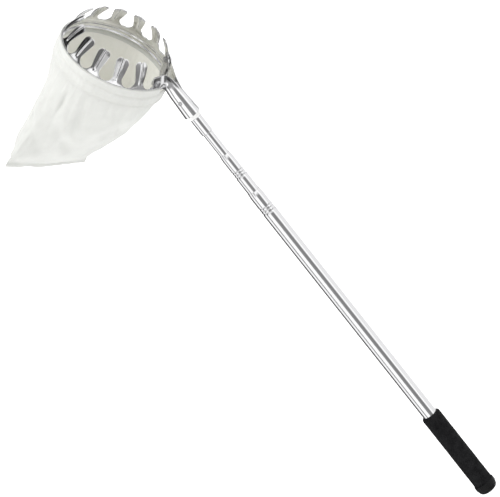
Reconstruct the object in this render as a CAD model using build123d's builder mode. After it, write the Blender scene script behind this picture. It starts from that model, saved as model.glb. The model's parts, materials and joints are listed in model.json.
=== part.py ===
"""Fruit picker: a ring of fingers with a cotton bag, on a three-section telescopic pole.

Millimetres.  +Z runs along the axis of the finger ring and out of its open mouth, so the bag hangs
along -Z.  +X runs from the ring towards the hand grip, Y is across, and the plane Y = 0 holds the
pole.  The origin is on the pole's axis at the middle of the foam grip, where a hand holds it.

Two local frames carry the design:
  ring    heights are measured from the bottoms of the gaps between the fingers, azimuths are
          degrees about the ring's axis from +X, where the pole is;
  pole    stations run along the pole from where its axis meets the ring's wall to the end cap.
"""
import os
from math import asin, atan2, cos, degrees, radians, sin, sqrt

from build123d import *

os.makedirs("parts", exist_ok=True)

# ---------------------------------------------------------------- driving dimensions, ring
RING_RADIUS = 71.2          # outside of the band
SHEET = 1.2                 # stamped strip
BAND_DEPTH = 13.0           # band below the gaps
BEAD_RADIUS = 1.3           # rolled bead on the band's lower edge
CROWN_HEIGHT = 31.0         # finger tips above the gaps
CROWN_BEND = 72.0           # radius of the fingers' inward curve
CROWN_LEAN = 12.0           # their lean where they leave the band, degrees
FINGER_PITCH = 25.0         # degrees
WHOLE_GAPS = 12             # gaps between fingers
GAPS_MIDDLE = 181.9         # azimuth the whole gaps are spread about
GAP_RADIUS = 9.1            # round bottom of a gap
TIP_GAP = 4.6               # half the gap between two finger tips
TIP_ROUND = 5.0             # corner radius of a finger tip
STRIP_END = 20.6            # azimuth of both ends of the strip, either side of the pole
TAB_HEIGHT = 14.0           # plain tab at the strip's near end
END_GAP_LIFT = 8.0          # the half gap beside the last finger starts this much higher

# ---------------------------------------------------------------- driving dimensions, pole
POLE_SLOPE = 30.0           # degrees below the ring's plane
POLE_DROP = 4.4             # axis below the gaps where it meets the ring's wall
GRIP_START = 548.0
GRIP_END = 660.0
RUNNING_GAP = 0.05          # radial play of a part that slides or turns
SEAT_GAP = 0.03             # radial play between parts fixed together

# ---------------------------------------------------------------- driving dimensions, socket
EAR_EDGE = 36.0             # azimuth where the socket's ears end
EAR_LOW = -5.0
EAR_HIGH = 14.0
WING_FLARE = 24.0           # plan radius of the bend from ear to tube
THROAT = 21.6               # station where the wings have closed into a tube
SOCKET_END = 52.5
THROAT_RADIUS = 9.1         # middle of the sheet
MOUTH_RADIUS = 10.5
SCREW_AZIMUTH = 28.5
SCREW_HEIGHT = 5.5
RIVET_STATION = 30.6
WING_MIDDLE = ((-2.4, 5.0), (0.6, -2.5), (-1.8, -11.0))   # mid-bend section, as (outwards, up)
SEAM_HALF = 0.5             # half the open seam along the tube's top
SLOT_STATION = 43.5
SLOT_LENGTH = 13.0
SLOT_WIDTH = 2.6

# ---------------------------------------------------------------- driving dimensions, bag
HEM_IN = 72.4               # clear of the bead on the band's lower edge
HEM_OUT = 74.2
HEM_DEPTH = 26.0
HEM_NOTCH = 9.5             # the hem dips this far under the socket's wings
CLOTH = 1.4
BAG_BOTTOM = 178.0
SEAM_DEPTH = 8.0
SEAM_HEADING = 43.0         # azimuth of the flat bottom seam
# depth below the gaps, centre X, centre Y, half length along the seam's heading, half width
BAG_SECTIONS = [
    (HEM_DEPTH, 0.0, 0.0, HEM_OUT, HEM_OUT),
    (71.0, -4.0, -1.5, 69.5, 58.0),
    (118.0, -12.0, -4.5, 65.0, 35.0),
    (155.0, -18.5, -7.0, 61.5, 15.5),
    (BAG_BOTTOM, -22.0, -8.0, 59.5, 4.0),
]

# ---------------------------------------------------------------- derived places
HALF_GRIP = (GRIP_START + GRIP_END) / 2
ALONG = Vector(cos(radians(POLE_SLOPE)), 0, -sin(radians(POLE_SLOPE)))
POLE_TOP = Vector(sin(radians(POLE_SLOPE)), 0, cos(radians(POLE_SLOPE)))
POLE_START = ALONG * -HALF_GRIP
RING_CENTRE = POLE_START - Vector(RING_RADIUS, 0, -POLE_DROP)
RING_AXIS = Axis(RING_CENTRE, (0, 0, 1))
POLE_AXIS = Axis(POLE_START, ALONG)
POLE_PROFILE = Plane(origin=POLE_START, x_dir=ALONG, z_dir=(0, -1, 0))
CUT_REACH = 10.0            # how far a cutting tool runs past what it cuts


def radial_plane(azimuth):
    """Upright plane through the ring's axis: x outwards at this azimuth, y up."""
    c = cos(radians(azimuth))
    s = sin(radians(azimuth))
    return Plane(origin=RING_CENTRE, x_dir=(c, s, 0), z_dir=(s, -c, 0))


def facing_plane(azimuth):
    """Upright plane facing outwards at this azimuth: x across, y up, z outwards."""
    c = cos(radians(azimuth))
    s = sin(radians(azimuth))
    return Plane(origin=RING_CENTRE, x_dir=(-s, c, 0), z_dir=(c, s, 0))


def pole_point(station):
    return POLE_START + ALONG * station


def crown_point(skin, height):
    """Point of the crown's wall at this height, skin outwards of its outer face: (radius, height)."""
    lean = radians(CROWN_LEAN)
    if height <= 0:
        return (RING_RADIUS + skin, height)
    bend_x = RING_RADIUS - CROWN_BEND * cos(lean)
    bend_z = -CROWN_BEND * sin(lean)
    reach = CROWN_BEND + skin
    return (bend_x + sqrt(reach ** 2 - (height - bend_z) ** 2), height)


def wall_profile(inner, outer, low, high):
    """Closed outline of a wall that follows the crown between two skins and two heights."""
    outer_foot = crown_point(outer, 0)
    inner_foot = crown_point(inner, 0)
    Line((outer_foot[0], low), outer_foot)
    ThreePointArc(outer_foot, crown_point(outer, high / 2), crown_point(outer, high))
    Line(crown_point(outer, high), crown_point(inner, high))
    ThreePointArc(crown_point(inner, high), crown_point(inner, high / 2), inner_foot)
    Line(inner_foot, (inner_foot[0], low))
    Line((inner_foot[0], low), (outer_foot[0], low))


def screw_plane(side, skin):
    """Plane across a wing screw, on the crown's wall at this skin, facing squarely outwards."""
    azimuth = radians(side * SCREW_AZIMUTH)
    lean = radians(CROWN_LEAN)
    bend_x = RING_RADIUS - CROWN_BEND * cos(lean)
    bend_z = -CROWN_BEND * sin(lean)
    tilt = asin((SCREW_HEIGHT - bend_z) / CROWN_BEND)
    distance = bend_x + (CROWN_BEND + skin) * cos(tilt)
    height = bend_z + (CROWN_BEND + skin) * sin(tilt)
    outwards = Vector(cos(azimuth) * cos(tilt), sin(azimuth) * cos(tilt), sin(tilt))
    spot = Vector(distance * cos(azimuth), distance * sin(azimuth), height)
    return Plane(origin=RING_CENTRE + spot, x_dir=(-sin(azimuth), cos(azimuth), 0), z_dir=outwards)


def cut_screw_holes():
    """Holes for the two wing screws, through whatever lies at the ring's wall."""
    with Locations(screw_plane(-1, 0), screw_plane(1, 0)):
        Cylinder(SCREW_HOLE, 2 * CUT_REACH, mode=Mode.SUBTRACT)


def cut_rivet_hole():
    """Hole for the cross rivet, right through whatever lies on the pole's axis."""
    with Locations(Plane(origin=pole_point(RIVET_STATION), z_dir=(0, 1, 0))):
        Cylinder(RIVET_HOLE, 4 * CUT_REACH, mode=Mode.SUBTRACT)


# ================================================================ head
WALL_SEAT = 0.10            # play between the sheets clamped at the ears
SCREW_RADIUS = 2.0
SCREW_HOLE = 2.15
RIVET_RADIUS = 1.6
RIVET_HOLE = 1.65
TAB_CUT = 30.0              # width of the cut that shortens the near tab
TAB_HEADING = -29.0


def gap_outline():
    """Gap between two fingers: round bottom, drawn in towards the tips, with rounded tip corners."""
    tip_foot = CROWN_HEIGHT - TIP_ROUND
    clear = CROWN_HEIGHT + TIP_ROUND
    shoulder = TIP_GAP + TIP_ROUND
    diagonal = TIP_ROUND * sin(radians(45))
    for side in (-1, 1):
        Line((side * GAP_RADIUS, GAP_RADIUS), (side * TIP_GAP, tip_foot))
        corner = (side * (shoulder - diagonal), tip_foot + diagonal)
        ThreePointArc((side * TIP_GAP, tip_foot), corner, (side * shoulder, CROWN_HEIGHT))
        Line((side * shoulder, CROWN_HEIGHT), (side * shoulder, clear))
    Line((-shoulder, clear), (shoulder, clear))
    ThreePointArc((-GAP_RADIUS, GAP_RADIUS), (0, 0), (GAP_RADIUS, GAP_RADIUS))


def lifted(plane, height):
    return Plane(origin=plane.origin + Vector(0, 0, height), x_dir=plane.x_dir, z_dir=plane.z_dir)


with BuildPart() as finger_ring:
    with BuildSketch(radial_plane(STRIP_END)):
        with BuildLine():
            wall_profile(-SHEET, 0, -BAND_DEPTH, CROWN_HEIGHT)
        make_face()
    revolve(axis=RING_AXIS, revolution_arc=360 - 2 * STRIP_END)
    with BuildSketch(radial_plane(EAR_EDGE)):
        with Locations((RING_RADIUS - SHEET / 2, -BAND_DEPTH)):
            Circle(BEAD_RADIUS)
    revolve(axis=RING_AXIS, revolution_arc=360 - 2 * EAR_EDGE)
    for count in range(WHOLE_GAPS):
        azimuth = GAPS_MIDDLE + FINGER_PITCH * (count - (WHOLE_GAPS - 1) / 2)
        with BuildSketch(facing_plane(azimuth)):
            with BuildLine():
                gap_outline()
            make_face()
        extrude(amount=RING_RADIUS + CUT_REACH, mode=Mode.SUBTRACT)
    with BuildSketch(lifted(facing_plane(GAPS_MIDDLE - FINGER_PITCH * (WHOLE_GAPS + 1) / 2), END_GAP_LIFT)):
        with BuildLine():
            gap_outline()
        make_face()
    extrude(amount=RING_RADIUS + CUT_REACH, mode=Mode.SUBTRACT)
    with BuildSketch(lifted(facing_plane(TAB_HEADING), TAB_HEIGHT)):
        Rectangle(TAB_CUT, CROWN_HEIGHT, align=(Align.CENTER, Align.MIN))
    extrude(amount=RING_RADIUS + CUT_REACH, mode=Mode.SUBTRACT)
    cut_screw_holes()
finger_ring.part.label = "finger_ring"


# The socket is one formed sheet.  Each half is an ear on the ring, a wing that bends away from the
# ring while it closes round the pole, and half of a slightly tapered tube.
def strip_section(top, middle, bottom):
    """Cross-section of the sheet, curved through three points given as (outwards, up)."""
    half = SHEET / 2
    Line((top[0] - half, top[1]), (top[0] + half, top[1]))
    ThreePointArc((top[0] + half, top[1]), (middle[0] + half, middle[1]), (bottom[0] + half, bottom[1]))
    Line((bottom[0] + half, bottom[1]), (bottom[0] - half, bottom[1]))
    ThreePointArc((bottom[0] - half, bottom[1]), (middle[0] - half, middle[1]), (top[0] - half, top[1]))


def half_tube_section(radius):
    """Half ring of sheet: open seam at the top, closed at the bottom."""
    outer = radius + SHEET / 2
    inner = radius - SHEET / 2
    outer_top = sqrt(outer ** 2 - SEAM_HALF ** 2)
    inner_top = sqrt(inner ** 2 - SEAM_HALF ** 2)
    Line((SEAM_HALF, inner_top), (SEAM_HALF, outer_top))
    ThreePointArc((SEAM_HALF, outer_top), (outer, 0), (0, -outer))
    Line((0, -outer), (0, -inner))
    ThreePointArc((0, -inner), (inner, 0), (SEAM_HALF, inner_top))


def near_side_plane(station):
    """Plane across the pole: x towards -Y, y up."""
    return Plane(origin=pole_point(station), x_dir=(0, -1, 0), z_dir=ALONG * -1)


wing_skin = WALL_SEAT + SHEET / 2
flare_reach = RING_RADIUS + wing_skin + WING_FLARE
flare_y = THROAT_RADIUS + WING_FLARE
flare_x = sqrt(flare_reach ** 2 - flare_y ** 2)
WING_AZIMUTH = degrees(atan2(flare_y, flare_x))
BEND_SHARE = 0.5            # where along the wing's bend the middle section stands


def wing_bend_plane():
    """Upright plane across the near wing, part of the way round its bend: x outwards, y up."""
    start = 180 - WING_AZIMUTH
    angle = radians(start + (90 - start) * BEND_SHARE)
    spot = Vector(flare_x + WING_FLARE * cos(angle), -flare_y + WING_FLARE * sin(angle), 0)
    outwards = Vector(-cos(angle), -sin(angle), 0)
    return Plane(origin=RING_CENTRE + spot, x_dir=outwards, z_dir=(-sin(angle), cos(angle), 0))


with BuildPart() as socket:
    with BuildSketch(radial_plane(-EAR_EDGE)):
        with BuildLine():
            wall_profile(WALL_SEAT, WALL_SEAT + SHEET, EAR_LOW, EAR_HIGH)
        make_face()
    revolve(axis=RING_AXIS, revolution_arc=EAR_EDGE - WING_AZIMUTH)
    with BuildSketch(radial_plane(-WING_AZIMUTH)):
        with BuildLine():
            top = crown_point(wing_skin, EAR_HIGH)
            middle = crown_point(wing_skin, (EAR_HIGH + EAR_LOW) / 2)
            bottom = crown_point(wing_skin, EAR_LOW)
            strip_section(top, middle, bottom)
        make_face()
    with BuildSketch(wing_bend_plane()):
        with BuildLine():
            strip_section(*WING_MIDDLE)
        make_face()
    with BuildSketch(near_side_plane(THROAT)):
        with BuildLine():
            half_tube_section(THROAT_RADIUS)
        make_face()
    loft()
    for station, radius in ((THROAT, THROAT_RADIUS), (SOCKET_END, MOUTH_RADIUS)):
        with BuildSketch(near_side_plane(station)):
            with BuildLine():
                half_tube_section(radius)
            make_face()
    loft(ruled=True)
    mirror(about=Plane.XZ)
    cut_screw_holes()
    cut_rivet_hole()
    with BuildSketch(Plane(origin=pole_point(SLOT_STATION), x_dir=ALONG, z_dir=POLE_TOP)):
        SlotOverall(SLOT_LENGTH, SLOT_WIDTH)
    extrude(amount=2 * CUT_REACH, mode=Mode.SUBTRACT)
socket.part.label = "socket"


# Each ear is clamped to the strip's end by a slotted screw, with a tongue-shaped plate and a nut
# on the inside.
PLATE_HALF_ARC = 4.2        # degrees
PLATE_LOW = -21.0
PLATE_HIGH = 13.0
PLATE_CORNER = 4.4
PLATE_OUTER = -SHEET - WALL_SEAT
PLATE_INNER = PLATE_OUTER - SHEET

with BuildPart() as backing_plates:
    for side in (-1, 1):
        with BuildSketch(radial_plane(side * SCREW_AZIMUTH - PLATE_HALF_ARC)):
            with BuildLine():
                wall_profile(PLATE_INNER, PLATE_OUTER, PLATE_LOW, PLATE_HIGH)
            make_face()
        revolve(axis=RING_AXIS, revolution_arc=2 * PLATE_HALF_ARC)
    bottoms = backing_plates.faces().filter_by(Axis.Z).group_by(Axis.Z)[0].edges()
    fillet(bottoms.filter_by(lambda edge: edge.length < 2 * SHEET), PLATE_CORNER)
    cut_screw_holes()
backing_plates.part.label = "backing_plates"

HEAD_RADIUS = 4.3
HEAD_HEIGHT = 2.6
NUT_SIZE = 7.0              # across flats
NUT_HEIGHT = 3.2
HEAD_FILLET = 2.0
DRIVE_WIDTH = 1.1
DRIVE_CUT = 2.2             # height of the slot's cutting box, half of it below the head's top
HEAD_SKIN = WALL_SEAT + SHEET + 0.02
NUT_SKIN = PLATE_INNER - 0.16
SHANK_PAST_NUT = 0.8
SHANK = HEAD_SKIN - NUT_SKIN + NUT_HEIGHT + SHANK_PAST_NUT

with BuildPart() as wing_screws:
    with Locations(screw_plane(-1, HEAD_SKIN), screw_plane(1, HEAD_SKIN)):
        Cylinder(HEAD_RADIUS, HEAD_HEIGHT, align=(Align.CENTER, Align.CENTER, Align.MIN))
        Cylinder(SCREW_RADIUS, SHANK, align=(Align.CENTER, Align.CENTER, Align.MAX))
    rims = wing_screws.edges().filter_by(GeomType.CIRCLE)
    head_rims = rims.filter_by(lambda edge: edge.radius > 1.5 * SCREW_RADIUS).sort_by(RING_AXIS)
    fillet(head_rims[2:], HEAD_FILLET)
    with Locations(screw_plane(-1, HEAD_SKIN + HEAD_HEIGHT), screw_plane(1, HEAD_SKIN + HEAD_HEIGHT)):
        Box(2 * HEAD_RADIUS, DRIVE_WIDTH, DRIVE_CUT, mode=Mode.SUBTRACT)
wing_screws.part.label = "wing_screws"

with BuildPart() as wing_nuts:
    for side in (-1, 1):
        with BuildSketch(screw_plane(side, NUT_SKIN)):
            RegularPolygon(NUT_SIZE / 2, 6, major_radius=False)
            Circle(SCREW_RADIUS + SEAT_GAP, mode=Mode.SUBTRACT)
        extrude(amount=-NUT_HEIGHT)
wing_nuts.part.label = "wing_nuts"

# ================================================================ pole
TOP_RADIUS = 6.5
TOP_WALL = 0.6
TOP_FRONT = 20.0
TOP_REAR = 530.0
MIDDLE_RADIUS = 8.0
MIDDLE_WALL = 0.7
MIDDLE_MOUTH = 118.0
MIDDLE_NECK = 125.5
MIDDLE_SHOULDER = 142.0
MIDDLE_REAR = 585.0
HANDLE_RADIUS = 9.5
HANDLE_WALL = 0.8
HANDLE_MOUTH = 178.0
HANDLE_NECK = 185.5
HANDLE_SHOULDER = 200.0
NECK_STEP = 0.4             # a neck is this much slimmer than its tube
MOUTH_TAPER = 0.7           # and its mouth this much slimmer again
SHOULDER_RUN = 1.2          # length of the step up to the full tube
CRIMP_SETBACK = 2.5         # shoulder to the first crimp
CRIMP_PITCH = 4.0
CRIMP_DEPTH = 0.35
CRIMP_HALF = 1.1
CLIP_LENGTH = 13.0
CLIP_MARGIN = 0.5
GROOVE_DEPTH = 0.4
REAR_FLANGE = 2.0
RIVET_HEAD = 2.6
RIVET_CROWN = 1.6           # radius of the flat on a rivet head
RIVET_HEAD_HEIGHT = 1.3
BUSH_FRONT = 24.0
BUSH_FRONT_RADIUS = 8.2     # the bush fills the socket's taper
BUSH_REAR_RADIUS = 9.6
BUSH_COLLAR = 8.4           # its collar shows behind the socket
BUSH_LIP = 7.6
BUSH_END = 58.0
FERRULE_RADIUS = 7.7
FERRULE_EDGE = 0.6
FERRULE_END = 83.3
FOAM_RADIUS = 12.7
FOAM_ROUND = 1.3
CAP_SPIGOT = 642.0
CAP_RADIUS = 13.8
CAP_EDGE = 0.6
CAP_RIM = 7.0               # length of the cap's rim
CAP_DOME = 11.4             # radius part of the way down the dome
CAP_FLAT = 8.0              # radius of the flat end
CAP_END = 674.0


def crimp_points(first, radius):
    """Outline of three grooves rolled round a tube, first centred at this station."""
    points = []
    for count in range(3):
        centre = first + CRIMP_PITCH * count
        points.append((centre - CRIMP_HALF, radius))
        points.append((centre, radius - CRIMP_DEPTH))
        points.append((centre + CRIMP_HALF, radius))
    return points


def groove_points(rear, radius):
    """Outline of the groove that holds the friction clip near a tube's rear end."""
    end = rear - REAR_FLANGE
    start = end - CLIP_LENGTH - 2 * CLIP_MARGIN
    low = radius - GROOVE_DEPTH
    return [(start, radius), (start, low), (end, low), (end, radius), (rear, radius)]


def neck_points(mouth, neck, shoulder, radius):
    """Outline of a tube's swaged mouth, neck and crimps, up to the full radius."""
    slim = radius - NECK_STEP
    crimps = crimp_points(shoulder + CRIMP_SETBACK, slim)
    full = crimps[-1][0] + SHOULDER_RUN
    return [(mouth, slim - MOUTH_TAPER), (neck, slim), (shoulder, slim), *crimps, (full, radius)]


def closed_tube(outline, bore):
    """Closed tube profile from its outer outline and its bore, listed from rear to front."""
    return Polyline(*outline, *bore, close=True)


with BuildPart() as top_tube:
    with BuildSketch(POLE_PROFILE):
        with BuildLine():
            skin_line = [(TOP_FRONT, TOP_RADIUS), *groove_points(TOP_REAR, TOP_RADIUS)]
            groove = groove_points(TOP_REAR, TOP_RADIUS - TOP_WALL)
            closed_tube(skin_line, [*groove[::-1], (TOP_FRONT, TOP_RADIUS - TOP_WALL)])
        make_face()
    revolve(axis=POLE_AXIS)
    cut_rivet_hole()
top_tube.part.label = "top_tube"

with BuildPart() as middle_tube:
    with BuildSketch(POLE_PROFILE):
        with BuildLine():
            neck = neck_points(MIDDLE_MOUTH, MIDDLE_NECK, MIDDLE_SHOULDER, MIDDLE_RADIUS)
            full = neck[-1][0]
            guide = TOP_RADIUS + RUNNING_GAP
            wide = MIDDLE_RADIUS - MIDDLE_WALL
            groove = groove_points(MIDDLE_REAR, wide)
            bore_step = full + SHOULDER_RUN
            bore = [*groove[::-1], (bore_step, wide), (full, guide), (MIDDLE_MOUTH, guide)]
            closed_tube([*neck, *groove_points(MIDDLE_REAR, MIDDLE_RADIUS)], bore)
        make_face()
    revolve(axis=POLE_AXIS)
middle_tube.part.label = "middle_tube"

with BuildPart() as handle_tube:
    with BuildSketch(POLE_PROFILE):
        with BuildLine():
            neck = neck_points(HANDLE_MOUTH, HANDLE_NECK, HANDLE_SHOULDER, HANDLE_RADIUS)
            full = neck[-1][0]
            guide = MIDDLE_RADIUS + RUNNING_GAP
            wide = HANDLE_RADIUS - HANDLE_WALL
            bore_step = full + SHOULDER_RUN
            bore = [(GRIP_END, wide), (bore_step, wide), (full, guide), (HANDLE_MOUTH, guide)]
            closed_tube([*neck, (GRIP_END, HANDLE_RADIUS)], bore)
        make_face()
    revolve(axis=POLE_AXIS)
handle_tube.part.label = "handle_tube"


# A friction clip is two half shells in the groove of the inner tube.  It rubs in the outer tube's
# bore and slides with the inner tube, which can still turn in it.
CLIP_SPLIT = 0.3
CLIP_PLANE = Plane(origin=POLE_START, x_dir=ALONG, z_dir=POLE_TOP)
INNER_TUBES = {
    "top": (TOP_REAR, TOP_RADIUS, MIDDLE_RADIUS - MIDDLE_WALL),
    "middle": (MIDDLE_REAR, MIDDLE_RADIUS, HANDLE_RADIUS - HANDLE_WALL),
}
clips = []
for tube, (rear, radius, bore_radius) in INNER_TUBES.items():
    for half, side in (("upper", 1), ("lower", -1)):
        with BuildPart() as clip:
            clip_end = rear - REAR_FLANGE - CLIP_MARGIN
            low = radius - GROOVE_DEPTH + RUNNING_GAP
            high = bore_radius - RUNNING_GAP
            with BuildSketch(POLE_PROFILE):
                with Locations((clip_end - CLIP_LENGTH / 2, (low + high) / 2)):
                    Rectangle(CLIP_LENGTH, high - low)
            revolve(axis=POLE_AXIS)
            keep = Keep.TOP if side > 0 else Keep.BOTTOM
            split(bisect_by=CLIP_PLANE.offset(side * CLIP_SPLIT), keep=keep)
        clip.part.label = f"{tube}_clip_{half}"
        clips.append(clip.part)

with BuildPart() as reducer_bush:
    with BuildSketch(POLE_PROFILE):
        with BuildLine():
            bush_bore = TOP_RADIUS + SEAT_GAP
            taper = [(BUSH_FRONT, BUSH_FRONT_RADIUS), (SOCKET_END, BUSH_REAR_RADIUS)]
            collar = [(SOCKET_END, BUSH_COLLAR), (BUSH_END - 1, BUSH_COLLAR), (BUSH_END, BUSH_LIP)]
            closed_tube([*taper, *collar], [(BUSH_END, bush_bore), (BUSH_FRONT, bush_bore)])
        make_face()
    revolve(axis=POLE_AXIS)
    cut_rivet_hole()
reducer_bush.part.label = "reducer_bush"

with BuildPart() as tip_ferrule:
    with BuildSketch(POLE_PROFILE):
        with BuildLine():
            ferrule_bore = TOP_RADIUS + SEAT_GAP
            edge = FERRULE_RADIUS - FERRULE_EDGE
            ferrule_skin = [(BUSH_END, edge), (BUSH_END + FERRULE_EDGE, FERRULE_RADIUS),
                            (FERRULE_END - FERRULE_EDGE, FERRULE_RADIUS), (FERRULE_END, edge)]
            closed_tube(ferrule_skin, [(FERRULE_END, ferrule_bore), (BUSH_END, ferrule_bore)])
        make_face()
    revolve(axis=POLE_AXIS)
tip_ferrule.part.label = "tip_ferrule"

RIVET_SEAT = 10.3           # underside of the rivet's heads, out from the pole's axis

with BuildPart() as cross_rivet:
    with Locations(Plane(origin=pole_point(RIVET_STATION), z_dir=(0, 1, 0))):
        Cylinder(RIVET_RADIUS, 2 * RIVET_SEAT)
    for side in (-1, 1):
        with Locations(Plane(origin=pole_point(RIVET_STATION), z_dir=(0, side, 0)).offset(RIVET_SEAT)):
            Cone(RIVET_HEAD, RIVET_CROWN, RIVET_HEAD_HEIGHT,
                 align=(Align.CENTER, Align.CENTER, Align.MIN))
cross_rivet.part.label = "cross_rivet"

with BuildPart() as foam_grip:
    with BuildSketch(POLE_PROFILE):
        with BuildLine():
            grip_bore = HANDLE_RADIUS + SEAT_GAP
            Polyline((GRIP_START, grip_bore), (GRIP_START, FOAM_RADIUS - FOAM_ROUND),
                     (GRIP_START + FOAM_ROUND, FOAM_RADIUS), (GRIP_END, FOAM_RADIUS),
                     (GRIP_END, grip_bore), close=True)
        make_face()
    revolve(axis=POLE_AXIS)
foam_grip.part.label = "foam_grip"

with BuildPart() as end_cap:
    with BuildSketch(POLE_PROFILE):
        with BuildLine():
            spigot = HANDLE_RADIUS - HANDLE_WALL - SEAT_GAP
            rim_edge = CAP_RADIUS - CAP_EDGE
            rim_end = GRIP_END + CAP_RIM
            Polyline((CAP_END, 0), (CAP_SPIGOT, 0), (CAP_SPIGOT, spigot), (GRIP_END, spigot),
                     (GRIP_END, rim_edge), (GRIP_END + CAP_EDGE, CAP_RADIUS),
                     (rim_end - CAP_EDGE, CAP_RADIUS), (rim_end, rim_edge))
            ThreePointArc((rim_end, rim_edge), (CAP_END - 2, CAP_DOME), (CAP_END, CAP_FLAT))
            Line((CAP_END, CAP_FLAT), (CAP_END, 0))
        make_face()
    revolve(axis=POLE_AXIS)
end_cap.part.label = "end_cap"

# ================================================================ bag
ELASTIC_RADIUS = 0.75
CHANNEL_RADIUS = 0.8
CHANNEL_DEPTH = 12.5
HEM_MIDDLE = (HEM_IN + HEM_OUT) / 2
HEM_TOP = -0.6              # its upper edge, just below the gaps
NOTCH_MARGIN = 1.5          # degrees the notch runs past the socket's ears
SEAM_WIDTH = 2.4
SEAM_ROUND = 1.08
NEAR_ROUND = 0.9999         # keeps the round section an ellipse, so that every section matches

with BuildPart() as bag_hem:
    with BuildSketch(radial_plane(0)):
        with Locations((HEM_MIDDLE, -HEM_DEPTH)):
            Rectangle(HEM_OUT - HEM_IN, HEM_DEPTH + HEM_TOP, align=(Align.CENTER, Align.MIN))
        with Locations((HEM_MIDDLE, -CHANNEL_DEPTH)):
            Circle(CHANNEL_RADIUS, mode=Mode.SUBTRACT)
    revolve(axis=RING_AXIS)
    with BuildSketch(radial_plane(-EAR_EDGE - NOTCH_MARGIN)):
        with Locations((HEM_MIDDLE, -HEM_NOTCH)):
            Rectangle(2 * CLOTH + 2, HEM_NOTCH + CUT_REACH, align=(Align.CENTER, Align.MIN))
    revolve(axis=RING_AXIS, revolution_arc=2 * (EAR_EDGE + NOTCH_MARGIN), mode=Mode.SUBTRACT)
bag_hem.part.label = "bag_hem"

with BuildPart() as hem_elastic:
    with BuildSketch(radial_plane(0)):
        with Locations((HEM_MIDDLE, -CHANNEL_DEPTH)):
            Circle(ELASTIC_RADIUS)
    revolve(axis=RING_AXIS)
hem_elastic.part.label = "hem_elastic"

seam_dir = (cos(radians(SEAM_HEADING)), sin(radians(SEAM_HEADING)), 0)
with BuildPart() as bag_body:
    for depth, x, y, half_length, half_width in BAG_SECTIONS:
        with BuildSketch(Plane(origin=RING_CENTRE + Vector(x, y, -depth), x_dir=seam_dir)):
            Ellipse(half_length, half_width * NEAR_ROUND)
    loft()
    for depth, x, y, half_length, half_width in BAG_SECTIONS:
        above_seam = CLOTH if depth == BAG_BOTTOM else 0
        centre = RING_CENTRE + Vector(x, y, above_seam - depth)
        with BuildSketch(Plane(origin=centre, x_dir=seam_dir)):
            Ellipse(half_length - CLOTH, half_width * NEAR_ROUND - CLOTH)
    loft(mode=Mode.SUBTRACT)
bag_body.part.label = "bag_body"

with BuildPart() as bottom_seam:
    depth, x, y, half_length, half_width = BAG_SECTIONS[-1]
    with BuildSketch(Plane(origin=RING_CENTRE + Vector(x, y, -depth), x_dir=seam_dir)):
        RectangleRounded(2 * half_length, SEAM_WIDTH, SEAM_ROUND)
    extrude(amount=-SEAM_DEPTH)
bottom_seam.part.label = "bottom_seam"

builders = [finger_ring, socket, backing_plates, wing_screws, wing_nuts, cross_rivet, reducer_bush,
            tip_ferrule, top_tube, middle_tube, handle_tube, foam_grip, end_cap, bag_hem,
            hem_elastic, bag_body, bottom_seam]
for piece in [builder.part for builder in builders] + clips:
    export_step(piece, f"parts/{piece.label}.step")
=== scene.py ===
"""Looks of the fruit picker: a stamped metal crown, a sewn cotton bag and a telescopic pole.

Blender works in metres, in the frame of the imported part.  Shapes are written here in
millimetres in two local frames, placed from the frame's own boxes and mounts:
  ring    heights from the bottoms of the gaps between the fingers, azimuths from the pole;
  pole    stations along the pole, from the ring's wall to the end cap, as the local Z of
          every turned piece, so that the drawn lines of its material follow the tube.
"""
import json
from math import asin, cos, degrees, pi, radians, sin, sqrt

import bmesh
import bpy
import numpy as np
from mathutils import Matrix, Vector, noise

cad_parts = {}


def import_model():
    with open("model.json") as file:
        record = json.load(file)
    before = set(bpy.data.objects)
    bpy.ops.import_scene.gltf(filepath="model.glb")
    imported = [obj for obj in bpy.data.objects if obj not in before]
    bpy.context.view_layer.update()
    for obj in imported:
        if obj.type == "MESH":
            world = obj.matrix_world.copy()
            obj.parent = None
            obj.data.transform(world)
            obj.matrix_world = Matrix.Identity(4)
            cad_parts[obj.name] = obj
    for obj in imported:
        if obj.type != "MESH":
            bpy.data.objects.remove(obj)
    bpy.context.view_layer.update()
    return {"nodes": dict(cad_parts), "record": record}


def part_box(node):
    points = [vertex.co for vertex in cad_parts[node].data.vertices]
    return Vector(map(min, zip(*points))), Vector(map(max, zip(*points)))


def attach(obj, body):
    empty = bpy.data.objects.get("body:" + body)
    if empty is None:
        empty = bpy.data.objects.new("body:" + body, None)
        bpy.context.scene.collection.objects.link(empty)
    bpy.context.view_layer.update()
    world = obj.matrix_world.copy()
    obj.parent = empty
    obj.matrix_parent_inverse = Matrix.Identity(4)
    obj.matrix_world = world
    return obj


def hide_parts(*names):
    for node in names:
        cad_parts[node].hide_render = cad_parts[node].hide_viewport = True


MM = 0.001
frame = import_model()


def placed(origin, *axes):
    """Matrix of a local frame, from its origin and its X, Y and Z axes."""
    return Matrix.Translation(origin) @ Matrix(axes).transposed().to_4x4()


# ---------------- places, from the frame
CROWN_HEIGHT = 31.0
GRIP_MIDDLE = 604.0
elastic_low, elastic_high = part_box("hem_elastic")
RING_CENTRE = (elastic_low + elastic_high) / 2
RING_CENTRE.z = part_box("finger_ring")[1].z - CROWN_HEIGHT * MM
hand_grip = next(m for m in frame["record"]["mounts"] if m["name"] == "hand_grip")
ALONG = Vector(hand_grip["axis"]).normalized()
POLE_START = Vector(hand_grip["pos_m"]) - ALONG * GRIP_MIDDLE * MM
ACROSS = Vector((0, 1, 0))
POLE_TOP = ACROSS.cross(ALONG) * -1
POLE_MATRIX = placed(POLE_START, POLE_TOP, ACROSS, ALONG)
RING_MATRIX = Matrix.Translation(RING_CENTRE)


def smoothstep(low, high, value):
    share = np.clip((value - low) / (high - low), 0, 1)
    return share * share * (3 - 2 * share)


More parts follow.
